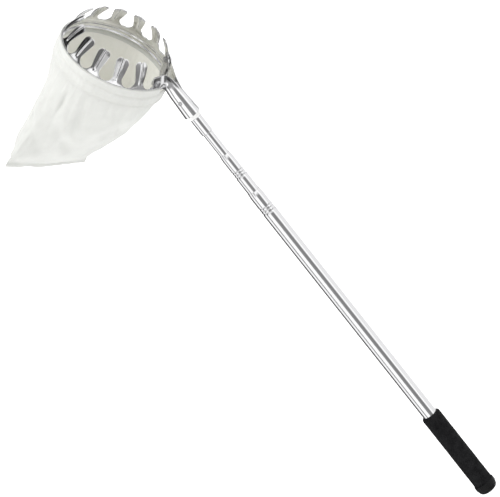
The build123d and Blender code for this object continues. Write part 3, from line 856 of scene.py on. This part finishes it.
# ---------------- bag
HEM_TOP = -0.7
HEM_DEPTH = 26.0
HEM_IN = 72.5
HEM_OUT = 74.2
WING_NOTCH = 9.2            # where the hem's edge dips under the wings
ELASTIC_DEPTH = 12.5
BAG_BOTTOM = 178.0
SEAM_DEPTH = 8.0
SEAM_HEADING = radians(43.0)
SEAM_ALONG = np.array((cos(SEAM_HEADING), sin(SEAM_HEADING), 0))
SEAM_ACROSS = np.array((-sin(SEAM_HEADING), cos(SEAM_HEADING), 0))
SEAM_HALF_LENGTH = 57.0
STITCH_DEPTHS = (10.5, 23.6)    # of the hem's two rows of stitches
RING_AROUND = 466.0
BAG_DROP = 160.0
CLOTH = 1.0
SETTLE_LIMIT = 2.2          # furthest the simulation may move the cloth
# depth below the gaps, centre X, centre Y, half length along the seam's heading, half width
BAG_SECTIONS = np.array([
    (HEM_DEPTH - 4, 0.0, 0.0, 73.4, 73.4),
    (71.0, -4.0, -1.5, 69.5, 58.0),
    (118.0, -12.0, -4.5, 66.0, 36.5),
    (155.0, -18.0, -7.0, 65.0, 19.0),
    (BAG_BOTTOM, -22.0, -8.0, 59.5, 2.2),
])
SEAM_LIFT = 9.5
BAG_COLUMNS = 192
BAG_ROWS = 84


def bag_section(depth):
    """Centre and half sizes of the bag at a depth, on smooth curves through its sections."""
    known = BAG_SECTIONS[:, 0]
    index = int(np.clip(np.searchsorted(known, depth) - 1, 0, len(known) - 2))
    slopes = np.gradient(BAG_SECTIONS[:, 1:], known, axis=0)
    span = known[index + 1] - known[index]
    t = (depth - known[index]) / span
    here, there = BAG_SECTIONS[index, 1:], BAG_SECTIONS[index + 1, 1:]
    return hermite(t, here, span * slopes[index], there, span * slopes[index + 1])


# soft folds: (azimuth, depth, lean across the cloth, half length, half width, height)
FOLDS = [
    (178, 66, 0.0, 24, 30.0, -8.0),
    (176, 143, 0.0, 20, 26.0, 4.0),
    (-116, 60, 0.0, 22, 4.5, -4.4),
    (-125, 58, 0.1, 24, 7.0, 3.0),
    (-149, 104, 1.2, 16, 6.0, -4.0),
    (-140, 90, 0.8, 18, 9.0, 3.0),
    (-98, 86, 0.5, 26, 8.0, 3.2),
    (-84, 76, 0.6, 24, 6.0, -3.6),
    (-72, 118, 1.4, 30, 7.0, -4.6),
    (-95, 138, 1.6, 30, 8.0, -3.8),
    (-50, 94, 1.0, 26, 9.0, 3.8),
    (-30, 80, 0.9, 22, 7.0, -3.8),
    (19, 112, 0.9, 26, 14.0, 6.5),
    (63, 96, -0.6, 34, 9.0, -6.0),
    (91, 120, -0.8, 36, 9.0, 5.0),
    (123, 88, 0.3, 36, 9.0, -6.0),
    (152, 124, 0.7, 34, 9.0, 4.6),
]


def fold_height(turn, depth):
    """Sum of the soft folds at a place of the cloth, in millimetres along its normal."""
    total = 0.0
    for middle, level, lean, half_length, half_width, height in FOLDS:
        across = ((turn + degrees(SEAM_HEADING) - middle + 180) % 360 - 180) * 1.15
        down = depth - level
        size = sqrt(1 + lean ** 2)
        along_fold = (down + lean * across) / size
        off_fold = (across - lean * down) / size
        total += height * np.exp(-(along_fold / half_length) ** 2 - (off_fold / half_width) ** 2)
    return total


def seam_lift(along, depth):
    """The end of the bottom seam under the pole hangs a little higher."""
    return SEAM_LIFT * smoothstep(-5.0, 66.0, along) * smoothstep(95.0, BAG_BOTTOM, depth)


def bag_rows():
    """The bag's middle surface as rows of points from the hem to the bottom seam."""
    rows = []
    for depth in np.linspace(BAG_SECTIONS[0, 0], BAG_BOTTOM, BAG_ROWS):
        x, y, half_length, half_width = bag_section(depth)
        fading = smoothstep(24, 50, depth) * (1 - smoothstep(160, 177, depth))
        pleat = np.exp(-(depth - 24) / 11) * smoothstep(22, 27, depth)
        row = []
        for column in range(BAG_COLUMNS):
            turn = 360 * column / BAG_COLUMNS - 180
            angle = radians(turn)
            along, across = half_length * cos(angle), half_width * sin(angle)
            normal = np.array((half_width * cos(angle), half_length * sin(angle)))
            normal /= np.linalg.norm(normal) + 1e-9
            unevenness = noise.noise(Vector(polar(3.1, angle, depth / 34)))
            swell = (fold_height(turn, depth) + 3.2 * unevenness) * fading
            gather = noise.noise(Vector(polar(11, angle, depth / 60)))
            swell += pleat * (1.2 * gather + 0.4 * sin(angle * 34 + 3 * gather) - 0.6)
            along += normal[0] * swell
            across += normal[1] * swell
            centre = np.array((x, y, seam_lift(along, depth) - depth))
            row.append(centre + SEAM_ALONG * along + SEAM_ACROSS * across)
        rows.append(row)
    return rows


def cloth_map(obj, rows, columns, down, around=RING_AROUND):
    """UV map in millimetres along and across the cloth, for its weave."""
    layer = obj.data.uv_layers.new(name="cloth")
    for polygon in obj.data.polygons:
        corners = [obj.data.loops[loop].vertex_index for loop in polygon.loop_indices]
        across = [vertex % columns for vertex in corners]
        wraps = max(across) - min(across) > columns / 2
        for vertex, column, loop in zip(corners, across, polygon.loop_indices):
            if wraps and column == 0:
                column = columns
            layer.data[loop].uv = (column * around / columns, vertex // columns * down / rows)


def simulate(obj, pinned, frames=32):
    """Let the cloth settle: slightly slack, held at its pinned points, under its own weight."""
    group = obj.vertex_groups.new(name="pinned")
    for index, weight in enumerate(pinned):
        if weight > 0:
            group.add([index], float(weight), "REPLACE")
    cloth = modify(obj, "CLOTH")
    values = {"quality": 6, "mass": 0.25, "tension_stiffness": 12, "compression_stiffness": 12,
              "shear_stiffness": 4, "bending_stiffness": 0.35, "tension_damping": 8,
              "air_damping": 4, "vertex_group_mass": "pinned", "shrink_min": -0.035,
              "shrink_max": -0.035}
    for name, value in values.items():
        setattr(cloth.settings, name, value)
    cloth.settings.effector_weights.gravity = 0.35
    cloth.collision_settings.use_collision = False
    cloth.point_cache.frame_end = frames
    for step in range(1, frames + 1):
        bpy.context.scene.frame_set(step)
        bpy.context.view_layer.update()
    apply_modifiers(obj)
    bpy.context.scene.frame_set(1)


def capped(before, after, limit):
    """The simulated points, none further than limit from where it started."""
    move = after - before
    size = np.linalg.norm(move, axis=1, keepdims=True)
    return before + move * np.minimum(1, limit / np.maximum(size, 1e-9))


def mesh_points(obj):
    points = np.zeros(len(obj.data.vertices) * 3)
    obj.data.vertices.foreach_get("co", points)
    return points.reshape(-1, 3)


def bag_body():
    """Sewn cotton bag: a lofted shell that sags in soft folds, lighter and cream inside, which is
    painted light for the light coming through the cloth.
    """
    shape = Shape().grid(bag_rows(), wrap=True, flip=True)
    body = shape.build("bag_cloth", [COTTON, COTTON_INSIDE_PAINTED_LIGHT], sharp=180.0)
    start = np.array(shape.points)
    depth = -start[:, 2]
    pinned = (1 - smoothstep(26, 34, depth)) + smoothstep(170, 177.5, depth)
    simulate(body, pinned)
    settled = capped(start, mesh_points(body) / MM, SETTLE_LIMIT)
    body.data.vertices.foreach_set("co", (settled * MM).ravel())
    body.data.update()
    cloth_map(body, BAG_ROWS, BAG_COLUMNS, BAG_DROP)
    bottom = mesh_points(body)[-BAG_COLUMNS:] / MM
    modify(body, "SUBSURF", levels=1, render_levels=1)
    # the inner faces take the inside cotton, whose lighter cream is painted light
    modify(body, "SOLIDIFY", thickness=CLOTH * MM, offset=-1.0, material_offset=1,
           material_offset_rim=0)
    apply_modifiers(body)
    body.data.set_sharp_from_angle(angle=pi)
    return body, bottom


def hem_top(azimuth):
    """Height of the hem's upper edge: it covers the ears' feet and dips under the wings."""
    dip = 1 - smoothstep(WING_AZIMUTH + 0.6, WING_AZIMUTH + 4.0, from_pole(azimuth))
    return HEM_TOP - (WING_NOTCH + HEM_TOP) * dip


def pucker(azimuth):
    """Small uneven gathers of the hem along the elastic."""
    angle = radians(azimuth)
    drift = noise.noise(Vector(polar(6, angle, 2.0)))
    return 0.55 * sin(angle * 58 + 5 * drift) + 0.8 * noise.noise(Vector(polar(16, angle, 2.0)))


def hem_outside(azimuth, depth):
    """Radius of the hem's outer layer: gathered, drawn in at its stitches, full at the elastic."""
    seam = sum(np.exp(-((depth - row) / width) ** 2)
               for row, width in zip(STITCH_DEPTHS, (1.3, 1.2)))
    channel = np.exp(-((depth - ELASTIC_DEPTH - 1.6) / 2.2) ** 2)
    gathers = 0.35 * pucker(azimuth) * smoothstep(2, 7, depth) * (1 - 0.75 * seam)
    return HEM_OUT + gathers - 0.75 * seam + 0.45 * channel - 0.35 * max(depth - 25.2, 0)


def hem():
    """Hem folded over the elastic: two layers, rolled top edge, gathers at its two seams."""
    columns = 480
    profile = [("in", step / 11) for step in range(12)]
    profile += [("fold", step / 8) for step in range(1, 8)]
    profile += [("out", step / 25) for step in range(26)]
    fold = 0.9
    rows = []
    for part, share in profile:
        row = []
        for azimuth in azimuths(columns):
            top = hem_top(azimuth)
            if part == "in":
                depth = HEM_DEPTH + (-top - HEM_DEPTH - fold) * share
                ears = 1 - smoothstep(EAR_EDGE, EAR_EDGE + 2, from_pole(azimuth))
                reach = HEM_IN + 0.15 * ears
            elif part == "fold":
                depth = fold - top - fold * sin(pi * share)
                reach = HEM_IN + (HEM_OUT - HEM_IN) * (0.5 - 0.5 * cos(pi * share))
            else:
                depth = fold - top + (HEM_DEPTH + top - fold) * share
                reach = hem_outside(azimuth, depth)
            row.append(polar(reach, radians(azimuth), -depth))
        rows.append(row)
    obj = Shape().grid(rows, wrap=True).build("hem_cloth", [COTTON], sharp=180.0)
    cloth_map(obj, len(rows), columns, 54.0)
    return obj


def thread_object(name, shape, material):
    """A piece of thread or cord, too small for a map of its weave."""
    obj = shape.build(name, [material], sharp=180.0)
    obj.data.uv_layers.new(name="cloth")
    return obj


def stitch(shape, middle, direction, outwards, length, width):
    """One raised stitch: a short plump thread lying on the cloth."""
    first = len(shape.points)
    sideways = np.cross(outwards, direction)
    rows = []
    for t in np.linspace(-1, 1, 5):
        size = width * sqrt(max(1 - t * t * 0.86, 0.02))
        place = middle + direction * (t * length / 2) - outwards * (0.35 * t * t * width)
        rows.append([place + sideways * (size * cos(turn)) + outwards * (size * sin(turn))
                     for turn in turns(6)])
    shape.grid(rows, wrap=True)
    last = len(shape.points) - 6
    shape.faces += [tuple(range(first + 5, first - 1, -1)), tuple(range(last, last + 6))]


def hem_stitches():
    """Two rows of machine stitches round the hem; the upper one stops under the wings."""
    shape = Shape()
    for row, depth in enumerate(STITCH_DEPTHS):
        for azimuth in azimuths(150):
            if row == 0 and from_pole(azimuth) < WING_AZIMUTH + 4:
                continue
            angle = radians(azimuth)
            direction = np.array((-sin(angle), cos(angle), 0.03))
            reach = HEM_OUT - 0.65 + 0.0875 * pucker(azimuth)
            middle = np.array(polar(reach, angle, -depth))
            stitch(shape, middle, direction, np.array(polar(1, angle, 0)), 2.3, 0.27)
    return thread_object("hem_stitches", shape, THREAD)


def seam_wave(along, share):
    """How far the flat seam waves sideways; share runs from its top, 0, to its edge, 1."""
    return 0.9 * noise.noise(Vector((along / 17, 3.0, share))) + 0.5 * sin(along / 5.5)


def bottom_seam(bottom):
    """Sewn bottom seam: both layers closed flat, turned down and stitched."""
    centre = bottom.mean(axis=0)
    rows = []
    for share in np.linspace(0, 1, 12):
        fold = smoothstep(0.0, 0.35, share)
        closing = 1 - smoothstep(0.86, 1.0, share) * 0.75
        row = []
        for point in bottom:
            along = float((point - centre) @ SEAM_ALONG)
            across = float((point - centre) @ SEAM_ACROSS)
            flat = np.sign(across) * min(abs(across), 1.15 + 0.12 * sin(along * 1.3))
            aim = flat * closing + seam_wave(along, share) * fold * 0.8
            place = centre + SEAM_ALONG * along + SEAM_ACROSS * (across + (aim - across) * fold)
            unevenness = 1 + 0.05 * noise.noise(Vector((along / 11, 7.0, 0)))
            place[2] = point[2] - SEAM_DEPTH * share * unevenness
            row.append(place)
        rows.append(row)
    shape = Shape().grid(rows, wrap=True, flip=True)
    columns = len(bottom)
    start = len(shape.points) - columns
    for step in range(columns // 2 - 1):
        other = start + columns - 1 - step
        after = start + (columns - step) % columns
        shape.faces.append((after, other, start + step + 1, start + step))
    obj = shape.build("seam_cloth", [COTTON], sharp=180.0)
    cloth_map(obj, len(rows), columns, SEAM_DEPTH, 240.0)
    return obj, centre


def seam_stitches(centre):
    """A row of machine stitches on each side of the bottom seam."""
    shape = Shape()
    for side in (-1, 1):
        for along in np.linspace(-SEAM_HALF_LENGTH, SEAM_HALF_LENGTH, 38):
            offset = side * 1.2 + 0.8 * seam_wave(along, 0.45)
            middle = centre + SEAM_ALONG * along + SEAM_ACROSS * offset
            middle[2] = seam_lift(along, BAG_BOTTOM) - BAG_BOTTOM - 3.6
            stitch(shape, middle, SEAM_ALONG, SEAM_ACROSS * side, 2.2, 0.26)
    return thread_object("seam_stitches", shape, THREAD)


def elastic():
    """Braid-covered elastic cord in the hem's channel."""
    rings = []
    for angle in turns(420):
        ring = []
        for turn in turns(10):
            size = 0.7 + 0.06 * sin(3 * turn + angle * 210)
            reach = (HEM_IN + HEM_OUT) / 2 + size * cos(turn)
            ring.append(polar(reach, angle, size * sin(turn) - ELASTIC_DEPTH))
        rings.append(ring)
    return thread_object("elastic_cord", Shape().grid(rings, wrap=True, loop=True), ELASTIC)


# ---------------- assembly
def build_head():
    for piece, slot, node in (
        (crown(), "polished_steel", "finger_ring"),
        (socket(), "polished_steel", "socket"),
        (joined("backing_tongues", [backing_plate(-1), backing_plate(1)]), "plate_steel",
         "backing_plates"),
        (joined("slotted_screws", [wing_screw(-1, 38), wing_screw(1, -15)]), "fastener_steel",
         "wing_screws"),
        (joined("hexagon_nuts", [wing_nut(-1, 12), wing_nut(1, -20)]), "fastener_steel",
         "wing_nuts"),
        (rivet(), "fastener_steel", "cross_rivet"),
        (bush(), "white_nylon", "reducer_bush"),
        (ferrule(), "tube_steel", "tip_ferrule"),
        (top_tube(), "tube_steel", "top_tube"),
    ):
        hand_over(piece, "head", slot, node)


def build_bag():
    body, bottom = bag_body()
    seam, centre = bottom_seam(bottom)
    hand_over(body, "head", "cotton", "bag_body")
    pieces = [
        hand_over(hem(), "head", "cotton", "bag_hem"),
        hand_over(hem_stitches(), "head", "cotton"),
        hand_over(seam, "head", "cotton", "bottom_seam"),
        hand_over(seam_stitches(centre), "head", "cotton"),
        hand_over(elastic(), "head", "elastic", "hem_elastic"),
    ]


def build_pole():
    middle = outer_tube("middle_tube_drawn", mouth=118.0, neck=125.5, shoulder=142.0,
                        radius=MIDDLE_RADIUS, rear=585.0, wall=0.7,
                        guide=TOP_RADIUS + SLIDE_PLAY, groove=(569.0, 583.0, 0.4))
    hand_over(middle, "middle_section", "tube_steel", "middle_tube")
    handle = outer_tube("handle_tube_drawn", mouth=178.0, neck=185.5, shoulder=200.0,
                        radius=HANDLE_RADIUS, rear=GRIP_END, wall=0.8,
                        guide=MIDDLE_RADIUS + SLIDE_PLAY)
    hand_over(handle, "handle", "tube_steel", "handle_tube")
    grip = hand_over(foam_grip(), "handle", "black_foam", "foam_grip")
    hand_over(end_cap(), "handle", "black_cap", "end_cap")
    for name in ("top_clip_upper", "top_clip_lower", "middle_clip_upper", "middle_clip_lower"):
        mesh = frame["nodes"][name].data
        mesh.materials.clear()
        mesh.materials.append(NYLON)


# ---------------- studio
VIEW_RIGHT = Vector((0.9053, 0.2040, 0.3728))
VIEW_UP = Vector((-0.4245, 0.4699, 0.7740))
VIEW_BACK = Vector((-0.0172, -0.8590, 0.5120))
VIEW_DISTANCE = 12.0
VIEW_WIDTH = 0.617
VIEW_ACROSS = 0.1645        # image centre from the ring's middle
VIEW_DOWN = 0.2396
SENSOR = 36.0
FLOOR_HEIGHT = -0.75


def camera():
    data = bpy.data.cameras.new("studio_camera")
    data.sensor_width = SENSOR
    data.lens = SENSOR * VIEW_DISTANCE / VIEW_WIDTH
    data.clip_start = 0.1
    data.clip_end = 200.0
    obj = linked("studio_camera", data)
    target = RING_CENTRE + VIEW_RIGHT * VIEW_ACROSS - VIEW_UP * VIEW_DOWN
    place = target + VIEW_BACK * VIEW_DISTANCE
    obj.matrix_world = placed(place, VIEW_RIGHT, VIEW_UP, VIEW_BACK)
    bpy.context.scene.camera = obj


def floor():
    material, nodes, _ = new_material("pale_floor")
    finish_material(nodes, Base_Color=(0.95, 0.95, 0.95, 1), Roughness=0.9,
                    Emission_Color=(1, 1, 1, 1), Emission_Strength=0.36)
    half = 60.0 / MM
    corners = [(-half, -half, 0), (half, -half, 0), (half, half, 0), (-half, half, 0)]
    matrix = Matrix.Translation((RING_CENTRE.x / 2, 0, FLOOR_HEIGHT))
    obj = Shape(corners, [(0, 1, 2, 3)]).build("studio_floor", [material], matrix)
    obj.visible_glossy = False


PLAIN_LEVELS = [(0.0, 0.3), (0.5, 0.3), (0.72, 0.75), (1.0, 1.55)]      # plain light by height
STRIP_FACE = Vector((0.226, -0.892, 0.391))     # with STRIP_DOWN, the turn about the pole's axis
STRIP_DOWN = Vector((-0.446, -0.4516, -0.7725))
# level of the studio's walls by turn about the pole, in degrees: long flags beside the pole
STRIPS = [
    (-180, 0.95), (-115, 0.98), (-66, 1.0), (-56, 1.28), (57, 1.28), (61, 0.25), (73, 0.25),
    (77, 1.25), (104, 1.2), (114, 0.12), (176, 0.12), (180, 0.95),
]
MAIN_STRIP = [(-45, 1.0), (-37, 0.26), (-14, 0.17), (-6, 0.25), (10, 0.22), (17, 1.0)]
MAIN_STRIP_SPAN = (0.05, 0.78)      # cosines of its ends' directions with the pole
# a darker band across the pole's line, seen in its grooves: cosines with the pole, level
SLANT_FLAG = (0.80, 0.97, 0.3)
# other dark flags: centre azimuth, elevation, half width, half height in degrees, level
FLAGS = [
    (-140, 12, 14, 40, 0.12),
    (-95, 18, 9, 30, 0.45),
    (4, 8, 8, 14, 0.2),
    (174, 5, 12, 30, 0.15),
    (20, 5, 9, 22, 0.14),
    (-86, 52, 8, 12, 0.15),
    (95, 10, 9, 25, 0.14),
    (150, 20, 9, 40, 0.12),
]


def spherical(azimuth, elevation):
    rise = radians(elevation)
    return Vector(polar(cos(rise), radians(azimuth), sin(rise)))


def flag_mask(nodes, ray, azimuth, elevation, half_width, half_height):
    """1 inside a soft-edged upright rectangle of directions, 0 outside it."""
    middle = spherical(azimuth, elevation)
    east = spherical(azimuth + 90, 0)
    mask = nodes.maths("GREATER_THAN", nodes.dot(ray, middle), 0.0)
    for axis, half in ((east, half_width), (middle.cross(east), half_height)):
        size = nodes.maths("ABSOLUTE", nodes.dot(ray, axis))
        edge = sin(radians(half))
        inside = nodes.range(size, edge + 0.03, edge - 0.03, interpolation_type="SMOOTHSTEP")
        mask = nodes.maths("MULTIPLY", mask, inside)
    return mask


def world():
    """White studio whose dark flags show only as reflections in the metal."""
    studio_world = bpy.data.worlds.new("studio")
    studio_world.use_nodes = True
    bpy.context.scene.world = studio_world
    nodes = Nodes(studio_world.node_tree)
    ray = nodes.add("ShaderNodeTexCoord").outputs["Generated"]
    facing = nodes.dot(ray, STRIP_FACE)
    turn = nodes.maths("ARCTAN2", nodes.dot(ray, STRIP_DOWN), facing)
    place = nodes.maths("MULTIPLY_ADD", turn, 1 / (2 * pi), 0.5)
    slant = nodes.dot(ray, ALONG)
    main = nodes.levels(place, MAIN_STRIP, -180, 360)
    for end, side in zip(MAIN_STRIP_SPAN, (-1, 1)):
        past = nodes.range(slant, end - side * 0.05, end + side * 0.05)
        main = nodes.maths("MAXIMUM", main, past)
    level = nodes.maths("MULTIPLY", nodes.levels(place, STRIPS, -180, 360), main)
    low, high, dark = SLANT_FLAG
    inside = nodes.maths("COMPARE", slant, (low + high) / 2, (high - low) / 2)
    inside = nodes.maths("MULTIPLY", inside, nodes.maths("GREATER_THAN", facing, 0.0))
    level = nodes.dimmed(level, inside, dark)
    for *flag, dark in FLAGS:
        level = nodes.dimmed(level, flag_mask(nodes, ray, *flag), dark)
    path = nodes.add("ShaderNodeLightPath").outputs
    height = nodes.maths("MULTIPLY_ADD", nodes.dot(ray, Vector((0, 0, 1))), 0.5, 0.5)
    matt = nodes.maths("SUBTRACT", 1.0, path["Is Glossy Ray"])
    plain = nodes.maths("MULTIPLY", matt, nodes.levels(height, PLAIN_LEVELS))
    both = nodes.maths("MULTIPLY_ADD", level, path["Is Glossy Ray"], plain)
    strength = nodes.maths("MAXIMUM", both, path["Is Camera Ray"])
    shader = nodes.add("ShaderNodeBackground", {"Color": (1, 1, 1, 1), "Strength": strength})
    nodes.add("ShaderNodeOutputWorld", {"Surface": shader.outputs["Background"]})


def softbox(name, direction, distance, size, power):
    data = bpy.data.lights.new(name, "AREA")
    data.shape = "SQUARE"
    data.size = size
    data.energy = power
    obj = linked(name, data)
    obj.location = RING_CENTRE * 0.6 + direction * distance
    obj.rotation_euler = direction.to_track_quat("Z", "Y").to_euler()
    obj.visible_camera = False
    obj.visible_glossy = False


def studio():
    bpy.context.scene.view_settings.view_transform = "Standard"
    camera()
    floor()
    world()
    softbox("key", spherical(-166, 36), 2.4, 1.0, 16.0)
    softbox("fill", spherical(-40, 35), 3.0, 2.0, 2.0)


build_head()
build_bag()
build_pole()
studio()
